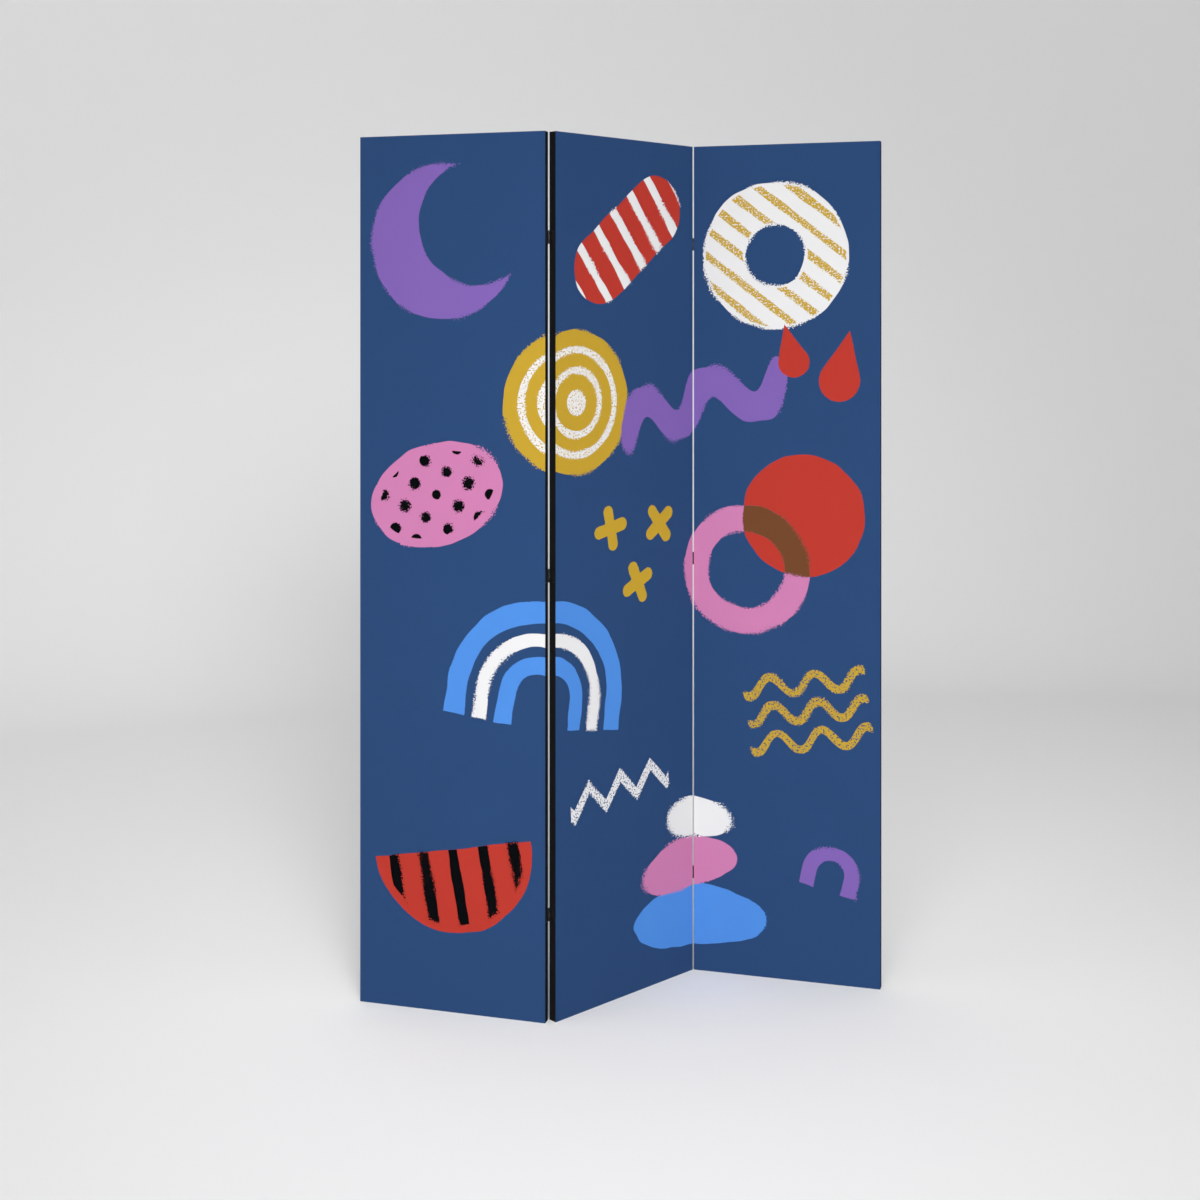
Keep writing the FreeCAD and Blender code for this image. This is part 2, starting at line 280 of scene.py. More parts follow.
def pick_faces(piece: Object, wanted: Callable[[Vector, Vector], bool]) -> None:
    """Selects faces of the piece in edit mode.

    Args:
        piece: the piece that is being edited.
        wanted: says by a face's middle and normal whether it is one of them.
    """
    mesh = bmesh.from_edit_mesh(piece.data)
    for face in mesh.faces:
        face.select_set(wanted(face.calc_center_median(), face.normal))
    bmesh.update_edit_mesh(piece.data)


def pick_edges(piece: Object, wanted: Callable[[Vector, Vector], bool]) -> None:
    """Selects edges of the piece in edit mode.

    Args:
        piece: the piece that is being edited.
        wanted: says by an edge's two ends whether it is one of them.
    """
    mesh = bmesh.from_edit_mesh(piece.data)
    for edge in mesh.edges:
        edge.select_set(wanted(edge.verts[0].co, edge.verts[1].co))
    bmesh.update_edit_mesh(piece.data)


def draw_out(rise: float, share: float, centre: Point | Vector = (0, 0, 0)) -> None:
    """Extrudes what is selected along Z and scales it across.

    Args:
        rise: how far it moves up.
        share: its new size, as a share of the old.
        centre: the point that it is scaled about.
    """
    bpy.ops.mesh.extrude_region_move(TRANSFORM_OT_translate={"value": (0, 0, rise)})
    bpy.ops.transform.resize(value=(share, share, 1), center_override=centre)


def finish_with(piece: Object, kind: str, **settings: object) -> None:
    """Applies one modifier to the piece.

    Args:
        piece: the piece.
        kind: the modifier's type, such as BEVEL.
        settings: its settings by name.
    """
    take_up(piece)
    modifier = piece.modifiers.new(kind.title(), kind)
    for name, value in settings.items():
        setattr(modifier, name, value)
    bpy.ops.object.modifier_apply(modifier=modifier.name)


def cut_away(piece: Object, cutter: Object) -> None:
    """Cuts one piece's shape out of another and removes the cutter."""
    finish_with(piece, "BOOLEAN", operation="DIFFERENCE", object=cutter, solver="EXACT")
    bpy.data.objects.remove(cutter)


def copy_of(piece: Object, name: str) -> Object:
    """A copy of the piece with its own mesh.

    Args:
        piece: the piece to copy.
        name: the copy's name.

    Returns:
        The copy.
    """
    copy = piece.copy()
    copy.data = piece.data.copy()
    copy.name = copy.data.name = name
    bpy.context.scene.collection.objects.link(copy)
    return copy


def mend_normals(piece: Object) -> None:
    """Merges doubled points and turns every face outwards.

    Args:
        piece: the piece.
    """
    with editing(piece, whole=True):
        bpy.ops.mesh.remove_doubles(threshold=CLOSE)
        bpy.ops.mesh.normals_make_consistent(inside=False)


def smooth(piece: Object, sharp_angle: float = math.radians(35)) -> None:
    """Shades the piece's rounds smoothly and its flat faces flat.

    Args:
        piece: the piece.
        sharp_angle: the turn between two faces past which their edge stays sharp.
    """
    take_up(piece)
    bpy.ops.object.shade_smooth_by_angle(angle=sharp_angle)
    finish_with(piece, "WEIGHTED_NORMAL", keep_sharp=True)


def ease_edges(piece: Object, radius: float, least_turn: float = math.radians(40)) -> None:
    """Rounds every edge where the surface turns sharply.

    Args:
        piece: the piece.
        radius: the round's radius.
        least_turn: the turn between two faces from which their edge is rounded.
    """
    finish_with(
        piece,
        "BEVEL",
        width=radius,
        segments=ROUND_STEPS,
        limit_method="ANGLE",
        angle_limit=least_turn,
    )


def dress(piece: Object, finish: Material) -> None:
    """Gives the piece one material all over."""
    piece.data.materials.clear()
    piece.data.materials.append(finish)


# Materials: numbers over a surface, written as sums and held by shader nodes


class Field:
    """A number that varies over a surface, as the output of a shader node."""

    def __init__(self, socket: NodeSocket) -> None:
        """Holds the node output that gives the number."""
        self.socket = socket

    @property
    def tree(self) -> bpy.types.NodeTree:
        """The node tree that the number belongs to."""
        return self.socket.id_data

    def math(self, operation: str, *others: "Field | float", clamp: bool = False) -> "Field":
        """A Math node with this number as its first input.

        Args:
            operation: the node's operation, such as ADD.
            others: its further inputs, in order.
            clamp: whether the result is kept between 0 and 1.

        Returns:
            The node's result.
        """
        node = self.tree.nodes.new("ShaderNodeMath")
        node.operation = operation
        node.use_clamp = clamp
        for slot, value in zip(node.inputs, (self, *others)):
            if isinstance(value, Field):
                value.drive(slot)
            else:
                slot.default_value = value
        return Field(node.outputs["Value"])

    def drive(self, slot: NodeSocket) -> None:
        """Feeds this number into a node's input."""
        self.tree.links.new(self.socket, slot)

    def ramp(self, steepness: float) -> "Field":
        """A climb from 0 to 1 that is halfway where this number crosses nought."""
        return self.math("MULTIPLY_ADD", steepness, HALFWAY, clamp=True)

    def __add__(self, other: "Field | float") -> "Field":
        """This number plus another."""
        return self.math("ADD", other)

    def __sub__(self, other: "Field | float") -> "Field":
        """This number less another."""
        return self.math("SUBTRACT", other)

    def __mul__(self, other: "Field | float") -> "Field":
        """This number times another."""
        return self.math("MULTIPLY", other)

    def __neg__(self) -> "Field":
        """This number with its sign turned."""
        return self.math("MULTIPLY", -1.0)

    def __abs__(self) -> "Field":
        """This number without its sign."""
        return self.math("ABSOLUTE")

    def least(self, other: "Field | float") -> "Field":
        """The smaller of this number and another."""
        return self.math("MINIMUM", other)

    def most(self, other: "Field | float") -> "Field":
        """The larger of this number and another."""
        return self.math("MAXIMUM", other)


def length_of(across: Field, up: Field) -> Field:
    """The distance that two numbers at right angles make."""
    return (across * across + up * up).math("SQRT")


@dataclass(frozen=True)
class Noise:
    """Soft noise: its lumps to a metre, its finer layers, and how strong these are."""

    scale: float
    detail: float = 2.0
    roughness: float = 0.5

    def over(self, vector: NodeSocket) -> Field:
        """The noise over a surface.

        Args:
            vector: the surface's coordinates.

        Returns:
            The noise about nought, from about -0.5 to 0.5.
        """
        tree = vector.id_data
        node = tree.nodes.new("ShaderNodeTexNoise")
        node.noise_dimensions = "3D"
        node.inputs["Scale"].default_value = self.scale
        node.inputs["Detail"].default_value = self.detail
        node.inputs["Roughness"].default_value = self.roughness
        tree.links.new(vector, node.inputs["Vector"])
        return Field(node.outputs["Fac"]) - HALFWAY


def blend_colours(share: Field, base: NodeSocket | Colour, over: NodeSocket | Colour) -> NodeSocket:
    """Lays one colour over another.

    Args:
        share: how much of the upper colour shows, from 0 to 1.
        base: the lower colour.
        over: the upper colour.

    Returns:
        The mixed colour.
    """
    tree = share.tree
    node = tree.nodes.new("ShaderNodeMix")
    node.data_type = "RGBA"
    factor, lower, upper = (slot for slot in node.inputs if slot.enabled)
    share.drive(factor)
    for slot, colour in ((lower, base), (upper, over)):
        if isinstance(colour, NodeSocket):
            tree.links.new(colour, slot)
        else:
            slot.default_value = colour
    return next(slot for slot in node.outputs if slot.enabled)


def start_material(name: str, settings: dict[str, float | Colour]) -> tuple[Material, Node]:
    """A new material and its surface shader.

    Args:
        name: the material's name.
        settings: what the shader's inputs hold where nothing drives them.

    Returns:
        The material and its Principled shader node.
    """
    material = bpy.data.materials.new(name)
    material.use_nodes = True
    shader = material.node_tree.nodes["Principled BSDF"]
    for socket, value in settings.items():
        shader.inputs[socket].default_value = value
    return material, shader


def lay_finish(shader: Node, colour: NodeSocket, matt: Field, height: Field, depth: float) -> None:
    """Gives a shader its colour, its roughness and its relief.

    Args:
        shader: the surface shader.
        colour: the colour of each place.
        matt: how rough the surface is there.
        height: the relief, in shares of its depth.
        depth: how high a relief of 1 stands, in metres.
    """
    tree = height.tree
    tree.links.new(colour, shader.inputs["Base Color"])
    matt.drive(shader.inputs["Roughness"])
    bump = tree.nodes.new("ShaderNodeBump")
    bump.inputs["Strength"].default_value = 1.0
    bump.inputs["Distance"].default_value = depth
    height.drive(bump.inputs["Height"])
    tree.links.new(bump.outputs["Normal"], shader.inputs["Normal"])


@dataclass(frozen=True)
class Weave:
    """The plain weave of the canvas, one thread over and one under."""

    thread_pitch: float = 0.0008
    thread_depth: float = 0.00012
    crimp: float = 0.45
    crossing_sharpness: float = 5.0
    slub: Noise = Noise(190.0, detail=1.0)
    slub_turn: float = 1.4

    def height(self, across: Field, up: Field, vector: NodeSocket) -> Field:
        """The relief of warp and weft, with uneven threads.

        Args:
            across, up: the place on the cloth, in metres.
            vector: the same place as a vector.

        Returns:
            The relief, from 0 between the threads to 1 on top of one.
        """
        turns = math.pi / self.thread_pitch
        slub = self.slub.over(vector) * self.slub_turn
        warp = (across * turns + slub).math("SINE")
        weft = (up * turns + slub).math("SINE")
        # the two waves have like signs where the warp lies on top
        warp_on_top = (warp * weft).ramp(self.crossing_sharpness)
        warp_round, weft_round = abs(warp), abs(weft)
        level = 1 - self.crimp
        warp_height = warp_round * (weft_round * self.crimp + level)
        weft_height = weft_round * (warp_round * self.crimp + level)
        return weft_height + (warp_height - weft_height) * warp_on_top


@dataclass(frozen=True)
class ClothFinish:
    """How the canvas takes the light: matt, with painted shade that darkens the pores between its threads,
    and a random mottle in its tone.
    """

    roughness: float = 0.86
    roughness_spread: float = 0.16
    specular: float = 0.03
    sheen: float = 0.008
    sheen_roughness: float = 0.5
    painted_pore_shade: float = 0.12
    mottle: Noise = Noise(9.0, detail=3.0)
    mottle_shade: float = 0.06
    # the dark colour that the painted pore shade and the random mottle lean towards
    shadow: Colour = (0.003, 0.005, 0.011, 1.0)


class Cloth:
    """The start of a canvas finish: its coordinates, its weave and its shader."""

    def __init__(self, name: str, weave: Weave, look: ClothFinish) -> None:
        """Lays the cloth's own coordinates over it.

        Args:
            name: the material's name.
            weave: the cloth's thread.
            look: how it takes the light.
        """
        self.weave = weave
        self.look = look
        settings = {
            "Roughness": look.roughness,
            "Specular IOR Level": look.specular,
            "Sheen Weight": look.sheen,
            "Sheen Roughness": look.sheen_roughness,
        }
        self.material, self.shader = start_material(name, settings)
        tree = self.material.node_tree
        layout = tree.nodes.new("ShaderNodeUVMap")
        layout.uv_map = SHEET_MAP
        split = tree.nodes.new("ShaderNodeSeparateXYZ")
        tree.links.new(layout.outputs["UV"], split.inputs["Vector"])
        self.vector: NodeSocket = layout.outputs["UV"]
        self.across = Field(split.outputs["X"])
        self.up = Field(split.outputs["Y"])

    def finish(self, colour: NodeSocket | Colour) -> Material:
        """Paints shade into a colour in the pores between the weave's threads, mottles its tone, and gives
        the surface its relief.

        Args:
            colour: the dye or the print.

        Returns:
            The finished material.
        """
        look = self.look
        threads = self.weave.height(self.across, self.up, self.vector)
        mottle = look.mottle.over(self.vector)
        pores = -threads + 1.0
        # painted shade: the colour darkens in the pores between the threads, on top of the random mottle in
        # its tone
        shade = (pores * look.painted_pore_shade + mottle * look.mottle_shade).math("ADD", 0.0, clamp=True)
        shaded = blend_colours(shade, colour, look.shadow)
        matt = (pores + mottle - HALFWAY) * look.roughness_spread + look.roughness
        lay_finish(self.shader, shaded, matt, threads, self.weave.thread_depth)
        return self.material


class Ink(Enum):
    """The print's colours."""

    NAVY = linear(37, 63, 102)
    PINK = linear(180, 111, 154)
    WHITE = linear(206, 206, 207)
    RED = linear(164, 50, 40)
    PURPLE = linear(113, 86, 156)
    BLUE = linear(70, 125, 198)
    BLACK = linear(3, 4, 5)
    MUSTARD = linear(173, 141, 43)
    BROWN = linear(99, 61, 36)


@dataclass(frozen=True)
class Touch:
    """The marks that a drawing tool leaves.

    Wander is how far the edge strays from its line, bristle how far the tool's hairs break it up,
    both in metres, and bare is the share of the stroke that the grain leaves open.
    """

    wander: float
    bristle: float
    bare: float = 0.0


class Edge(Enum):
    """The tools that the print's shapes were drawn with."""

    FINE = Touch(wander=0.0014, bristle=0.0012)
    CUT = Touch(wander=0.0030, bristle=0.0010)
    BRUSH = Touch(wander=0.0030, bristle=0.0085)
    CHALK = Touch(wander=0.0018, bristle=0.0050, bare=0.20)


class Spot:
    """A place on the print, measured from a motif's own middle."""

    def __init__(self, across: Field, up: Field) -> None:
        """Holds the two coordinates.

        Args:
            across: metres to the right of the motif's middle.
            up: metres above it.
        """
        self.across = across
        self.up = up

    @property
    def reach(self) -> Field:
        """Metres from the motif's middle."""
        return length_of(self.across, self.up)

    def seen_from(self, middle: tuple[float, float], turn_degrees: float = 0.0) -> "Spot":
        """The same place from another middle, turned anticlockwise.

        Args:
            middle: the other middle, across and up.
            turn_degrees: how far that motif is turned.

        Returns:
            The place in the motif's own coordinates.
        """
        across = self.across - middle[0]
        up = self.up - middle[1]
        if not turn_degrees:
            return Spot(across, up)
        cosine = math.cos(math.radians(turn_degrees))
        sine = math.sin(math.radians(turn_degrees))
        return Spot(across * cosine + up * sine, up * cosine - across * sine)


@dataclass(frozen=True)
class Oval:
    """A pebble: an oval with two radii."""

    radii: tuple[float, float]

    def distance(self, spot: Spot) -> Field:
        """How far a place is from the shape.

        Args:
            spot: the place, from the shape's middle.

        Returns:
            Metres outside the edge, and less than nought inside.
        """
        across, up = self.radii
        if across == up:
            return spot.reach - across
        least = min(self.radii)
        return length_of(spot.across * (least / across), spot.up * (least / up)) - least


@dataclass(frozen=True)
class Hoop:
    """A band round a circle."""

    radius: float
    band: float

    def distance(self, spot: Spot) -> Field:
        """Metres outside the edge, and less than nought inside."""
        return abs(spot.reach - self.radius) - self.band / 2


@dataclass(frozen=True)
class Moon:
    """A crescent: a disc with a smaller one bitten out of it."""

    radius: float
    bite_radius: float
    bite_middle: tuple[float, float]

    def distance(self, spot: Spot) -> Field:
        """Metres outside the edge, and less than nought inside."""
        bite = spot.seen_from(self.bite_middle)
        return (spot.reach - self.radius).most(-(bite.reach - self.bite_radius))


@dataclass(frozen=True)
class Bowl:
    """The lower half of a disc."""

    radius: float

    def distance(self, spot: Spot) -> Field:
        """Metres outside the edge, and less than nought inside."""
        return (spot.reach - self.radius).most(spot.up)


@dataclass(frozen=True)
class Arch:
    """A band bent over two straight legs."""

    radius: float
    band: float
    leg: float

    def distance(self, spot: Spot) -> Field:
        """Metres outside the edge, and less than nought inside."""
        bend = abs(length_of(spot.across, spot.up.most(0.0)) - self.radius) - self.band / 2
        return bend.most(-spot.up - self.leg)


@dataclass(frozen=True)
class Pill:
    """A bar with round ends."""

    reach: float
    radius: float

    def distance(self, spot: Spot) -> Field:
        """Metres outside the edge, and less than nought inside."""
        past_end = (abs(spot.across) - self.reach).most(0.0)
        return length_of(past_end, spot.up) - self.radius


@dataclass(frozen=True)
class Wave:
    """A stroke that rolls up and down."""

    reach: float
    height: float
    pitch: float
    stroke: float

    def distance(self, spot: Spot) -> Field:
        """How far a place is from the shape.

        Args:
            spot: the place, from the shape's middle.

        Returns:
            Metres outside the edge, and less than nought inside.
        """
        turns = math.tau / self.pitch
        crest = (spot.across * turns).math("SINE") * self.height
        slope = (spot.across * turns).math("COSINE") * (self.height * turns)
        steepness = (slope * slope + 1.0).math("SQRT")
        off_line = abs((spot.up - crest).math("DIVIDE", steepness))
        return length_of(off_line, (abs(spot.across) - self.reach).most(0.0)) - self.stroke / 2


@dataclass(frozen=True)
class Zigzag:
    """A stroke of straight runs up and down."""

    reach: float
    height: float
    pitch: float
    stroke: float

    def distance(self, spot: Spot) -> Field:
        """How far a place is from the shape.

        Args:
            spot: the place, from the shape's middle.

        Returns:
            Metres outside the edge, and less than nought inside.
        """
        # a run climbs from the foot of the stroke to its crest in half a pitch
        rise = 2 * self.height / (self.pitch / 2)
        climb = (spot.across + self.reach).math("PINGPONG", self.pitch / 2) * rise - self.height
        off_line = abs(spot.up - climb) * (1 / math.hypot(1, rise))
        return off_line.most(abs(spot.across) - self.reach) - self.stroke / 2


@dataclass(frozen=True)
class Cross:
    """Two bars with round ends, at right angles."""

    reach: float
    radius: float

    def distance(self, spot: Spot) -> Field:
        """Metres outside the edge, and less than nought inside."""
        bar = Pill(self.reach, self.radius)
        return bar.distance(spot).least(bar.distance(Spot(spot.up, spot.across)))


@dataclass(frozen=True)
class Drop:
    """A round drop that tapers to a point above."""

    radius: float
    tip: float

    def distance(self, spot: Spot) -> Field:
        """How far a place is from the shape.

        Args:
            spot: the place, from the shape's middle.

        Returns:
            Metres outside the edge, and less than nought inside.
        """
        disc = spot.reach - self.radius
        # the two sides of the tip touch the disc
        sine = self.radius / self.tip
        cosine = math.sqrt(1 - sine * sine)
        side = abs(spot.across) * cosine + spot.up * sine - self.radius
        return disc.least(side.most(-spot.up + self.radius * sine))


@dataclass(frozen=True)
class Stripes:
    """Bars across the motif at an even pitch, each a share of the pitch wide."""

    pitch: float
    bar_share: float

    def distance(self, spot: Spot) -> Field:
        """Metres outside the nearest bar's edge, and less than nought inside."""
        return spot.across.math("PINGPONG", self.pitch / 2) - self.pitch * self.bar_share / 2


@dataclass(frozen=True)
class Dots:
    """Round dots in staggered rows."""

    pitch: float
    radius: float

    def distance(self, spot: Spot) -> Field:
        """How far a place is from the nearest dot.

        Args:
            spot: the place, from the middle of the pattern.

        Returns:
            Metres outside that dot's edge, and less than nought inside.
        """
        half = self.pitch / 2
        near = length_of(spot.across.math("PINGPONG", half), spot.up.math("PINGPONG", half))
        across, up = spot.across + half, spot.up + half
        between = length_of(across.math("PINGPONG", half), up.math("PINGPONG", half))
        return near.least(between) - self.radius


Shape = Oval | Hoop | Moon | Bowl | Arch | Pill | Wave | Zigzag | Cross | Drop | Stripes | Dots


@dataclass(frozen=True)
class Motif:
    """One printed shape, measured on the three sheets laid flat, from the lower left corner."""

    shape: Shape
    ink: Ink
    middle: tuple[float, float]
    turn_degrees: float = 0.0
    edge: Edge = Edge.CUT
    within: "Motif | None" = None

    def distance(self, place: Spot) -> Field:
        """How far a place is from the motif, or from the part of it that lies within another.

        Args:
            place: the place on the print.

        Returns:
            Metres outside the edge, and less than nought inside.
        """
        distance = self.shape.distance(place.seen_from(self.middle, self.turn_degrees))
        if self.within is not None:
            distance = distance.most(self.within.distance(place))
        return distance


def inside(outer: Motif, margin: float) -> Motif:
    """A round motif's outline, drawn in by a margin, to keep a pattern inside it.

    Args:
        outer: the motif, whose shape has a radius or radii, or is a band.
        margin: how far the outline is drawn in.

    Returns:
        The smaller motif.
    """
    shape = outer.shape
    if isinstance(shape, Oval):
        smaller: Shape = Oval((shape.radii[0] - margin, shape.radii[1] - margin))
    elif isinstance(shape, Hoop):
        smaller = Hoop(shape.radius, shape.band - 2 * margin)
    else:
        smaller = replace(shape, radius=shape.radius - margin)
    return replace(outer, shape=smaller)


def laid_over(outer: Motif, pattern: Shape, ink: Ink, margin: float, edge: Edge = Edge.BRUSH) -> Motif:
    """A pattern on a motif, turned with it and kept inside its outline.

    Args:
        outer: the motif that carries the pattern.
        pattern: the stripes or dots.
        ink: their ink.
        margin: how far inside the outline they end.
        edge: the tool that they are drawn with.

    Returns:
        The pattern.
    """
    return replace(outer, shape=pattern, ink=ink, edge=edge, within=inside(outer, margin))


MOON = Motif(Moon(0.160, 0.128, (0.074, 0.038)), Ink.PURPLE, (0.185, 1.580), edge=Edge.BRUSH)
TARGET = Motif(Oval((0.148, 0.148)), Ink.MUSTARD, (0.462, 1.250), edge=Edge.BRUSH)
PEBBLE = Motif(Oval((0.150, 0.104)), Ink.PINK, (0.170, 1.060), 20.0, Edge.BRUSH)
BOWL = Motif(Bowl(0.172), Ink.RED, (0.205, 0.335), 10.0, Edge.CUT)
PILL = Motif(Pill(0.105, 0.074), Ink.RED, (0.612, 1.590), 38.0, Edge.CUT)
WHEEL = Motif(Hoop(0.112, 0.094), Ink.WHITE, (0.990, 1.560), edge=Edge.BRUSH)
SUN = Motif(Oval((0.132, 0.132)), Ink.RED, (1.050, 1.000), edge=Edge.CUT)
RING = Motif(Hoop(0.112, 0.056), Ink.PINK, (0.925, 0.880), edge=Edge.BRUSH)
TARGET_RINGS = (Hoop(0.108, 0.015), Hoop(0.066, 0.015), Oval((0.026, 0.026)))
RAINBOW = (
    (Arch(0.178, 0.044, 0.060), Ink.BLUE, Edge.CUT),
    (Arch(0.122, 0.028, 0.060), Ink.WHITE, Edge.BRUSH),
    (Arch(0.070, 0.036, 0.060), Ink.BLUE, Edge.CUT),
)
STAR_CROSS = Cross(0.034, 0.0135)
STARS = (((0.560, 0.985), 12.0), ((0.705, 0.985), 38.0), ((0.640, 0.865), 25.0))
ROLL = Wave(0.125, 0.019, 0.098, 0.017)
ROLL_MIDDLES = ((1.052, 0.640), (1.060, 0.580), (1.068, 0.520))

# From the bottom of the pile of inks to its top
MOTIFS: tuple[Motif, ...] = (
    MOON,
    TARGET,
    *(Motif(ring, Ink.WHITE, TARGET.middle, edge=Edge.CHALK) for ring in TARGET_RINGS),
    PEBBLE,
    laid_over(PEBBLE, Dots(0.074, 0.0115), Ink.BLACK, 0.020),
    *(Motif(arch, ink, (0.392, 0.650), -8.0, edge) for arch, ink, edge in RAINBOW),
    BOWL,
    laid_over(BOWL, Stripes(0.066, 0.34), Ink.BLACK, 0.016),
    Motif(Zigzag(0.135, 0.027, 0.090, 0.018), Ink.WHITE, (0.590, 0.440), 5.0, Edge.CHALK),
    PILL,
    laid_over(PILL, Stripes(0.062, 0.34), Ink.WHITE, 0.0),
    Motif(Wave(0.190, 0.036, 0.190, 0.066), Ink.PURPLE, (0.805, 1.240), 12.0, Edge.BRUSH),
    *(Motif(STAR_CROSS, Ink.MUSTARD, middle, turn, Edge.FINE) for middle, turn in STARS),
    WHEEL,
    replace(
        laid_over(WHEEL, Stripes(0.046, 0.34), Ink.MUSTARD, 0.006, Edge.CHALK),
        turn_degrees=52.0,
    ),
    Motif(Drop(0.044, 0.108), Ink.RED, (1.128, 1.290), -12.0, Edge.FINE),
    Motif(Drop(0.034, 0.084), Ink.RED, (1.030, 1.330), 14.0, Edge.FINE),
    SUN,
    RING,
    replace(RING, ink=Ink.BROWN, within=SUN),
    *(Motif(ROLL, Ink.MUSTARD, middle, 8.0, Edge.CHALK) for middle in ROLL_MIDDLES),
    Motif(Oval((0.172, 0.066)), Ink.BLUE, (0.800, 0.125), -2.0, Edge.CUT),
    Motif(Oval((0.124, 0.055)), Ink.PINK, (0.780, 0.240), 6.0, Edge.BRUSH),
    Motif(Oval((0.080, 0.044)), Ink.WHITE, (0.812, 0.336), -6.0, Edge.BRUSH),
    Motif(Arch(0.046, 0.032, 0.034), Ink.PURPLE, (1.108, 0.232), -12.0, Edge.BRUSH),
)


@dataclass(frozen=True)
class Unevenness:
    """The noises that every printed edge shares."""

    wander: Field
    bristle: Field
    chalk: Field


@dataclass(frozen=True)
class Canvas:
    """The cloth that every sheet is cut from."""

    weave: Weave = Weave()
    look: ClothFinish = ClothFinish()


@dataclass(frozen=True)
class PrintedCanvas(Canvas):
    """The finish of the front sheets: one print that runs over all three."""

    wander: Noise = Noise(14.0, detail=1.5)
    bristle: Noise = Noise(300.0, detail=3.0, roughness=0.6)
    patch: Noise = Noise(11.0, detail=1.0)
    patch_contrast: float = 7.0
    chalk: Noise = Noise(270.0)
    chalk_contrast: float = 20.0
    edge_softness: float = 0.0007
    noise_reach: float = 0.25

    def material(self) -> Material:
        """Draws the motifs one over the other on the dyed ground.

        Returns:
            The finished material.
        """
        cloth = Cloth("printed_canvas", self.weave, self.look)
        # the bristles break some stretches of an edge and leave others clean
        patch = self.patch.over(cloth.vector)
        rough_here = patch.ramp(self.patch_contrast)
        uneven = Unevenness(
            wander=self.wander.over(cloth.vector),
            bristle=self.bristle.over(cloth.vector) * rough_here,
            chalk=self.chalk.over(cloth.vector),
        )
        place = Spot(cloth.across, cloth.up)
        colour: NodeSocket | Colour = Ink.NAVY.value
        for motif in MOTIFS:
            covered = self.coverage(motif, place, uneven)
            colour = blend_colours(covered, colour, motif.ink.value)
        return cloth.finish(colour)

    def coverage(self, motif: Motif, place: Spot, uneven: Unevenness) -> Field:
        """How much of a motif's ink lies at each place.

        Args:
            motif: the printed shape.
            place: the place on the print.
            uneven: the noises that bend and break its edge.

        Returns:
            The share of ink, from 0 to 1.
        """
        touch = motif.edge.value
        strays = uneven.wander * (touch.wander / self.noise_reach)
        breaks = uneven.bristle * (touch.bristle / self.noise_reach)
        distance = motif.distance(place) + strays + breaks
        ink = distance.ramp(-1 / self.edge_softness)
        if touch.bare:
            least = (touch.bare - HALFWAY) * self.noise_reach
            ink = ink * (uneven.chalk - least).ramp(self.chalk_contrast)
        return ink


@dataclass(frozen=True)
class PlainCanvas(Canvas):
    """The finish of the rear sheets: the same cloth in its ground colour."""

    def material(self) -> Material:
        """The dyed cloth without a print."""
        return Cloth("plain_canvas", self.weave, self.look).finish(Ink.NAVY.value)


@dataclass(frozen=True)
class PaintedTimber:
    """Black matt paint that shows a little of the grain and of the brush."""

    grain: Grain = Grain.UPRIGHT
    turn: float = 0.0
    dark: Colour = linear(15, 15, 15)
    light: Colour = linear(28, 28, 28)
    contrast: float = 0.5
    roughness: float = 0.75
    specular: float = 0.02
    fibre: Noise = Noise(900.0, detail=4.0, roughness=0.6)
    fibre_stretch: float = 0.02
    fibre_gloss: float = 0.12
    brush: Noise = Noise(60.0)
    brush_gloss: float = 0.25
    brush_relief: float = 0.6
    relief: float = 0.00008

    def material(self) -> Material:
        """The paint over timber whose grain runs the way that the piece does.

        Returns:
            The finished material.
        """
        name = f"painted_timber_{self.grain.value}_{round(math.degrees(self.turn))}"
        settings = {"Roughness": self.roughness, "Specular IOR Level": self.specular}
        material, shader = start_material(name, settings)
        tree = material.node_tree
        place = tree.nodes.new("ShaderNodeTexCoord").outputs["Object"]
        mapping = tree.nodes.new("ShaderNodeMapping")
        mapping.inputs["Rotation"].default_value = (0.0, 0.0, -self.turn)
        along = self.fibre_stretch
        stretch = (1.0, 1.0, along) if self.grain is Grain.UPRIGHT else (along, 1.0, 1.0)
        mapping.inputs["Scale"].default_value = stretch
        tree.links.new(place, mapping.inputs["Vector"])
        fibre = self.fibre.over(mapping.outputs["Vector"])
        brush = self.brush.over(place)
        colour = blend_colours((fibre + brush).ramp(self.contrast), self.dark, self.light)
        matt = brush * self.brush_gloss + fibre * self.fibre_gloss + self.roughness
        lay_finish(shader, colour, matt, fibre + brush * self.brush_relief, self.relief)
        return material


@dataclass(frozen=True)
class BlackMetal:
    """Small steel parts, enamelled or blackened."""

    name: str
    metallic: float
    roughness: float
    dark: Colour
    light: Colour
    speckle: Noise = Noise(2600.0, detail=3.0)
    patch: Noise = Noise(220.0)
    contrast: float = 1.0
    unevenness: float = 0.2
    relief: float = 0.000012

    def material(self) -> Material:
        """The dark coat with its fine unevenness.

        Returns:
            The finished material.
        """
        settings = {"Roughness": self.roughness, "Metallic": self.metallic}
        material, shader = start_material(self.name, settings)
        place = material.node_tree.nodes.new("ShaderNodeTexCoord").outputs["Object"]
        speckle = self.speckle.over(place)
        uneven = speckle + self.patch.over(place)
        colour = blend_colours(uneven.ramp(self.contrast), self.dark, self.light)
        matt = uneven * self.unevenness + self.roughness
        lay_finish(shader, colour, matt, speckle, self.relief)
        return material


HINGE_ENAMEL = BlackMetal("hinge_enamel", 0.0, 0.36, linear(12, 12, 13), linear(26, 26, 28))
PIN_STEEL = BlackMetal("pin_steel", 0.85, 0.42, linear(26, 26, 28), linear(52, 52, 55))
SCREW_OXIDE = BlackMetal("screw_oxide", 0.85, 0.38, linear(30, 30, 32), linear(58, 58, 60))


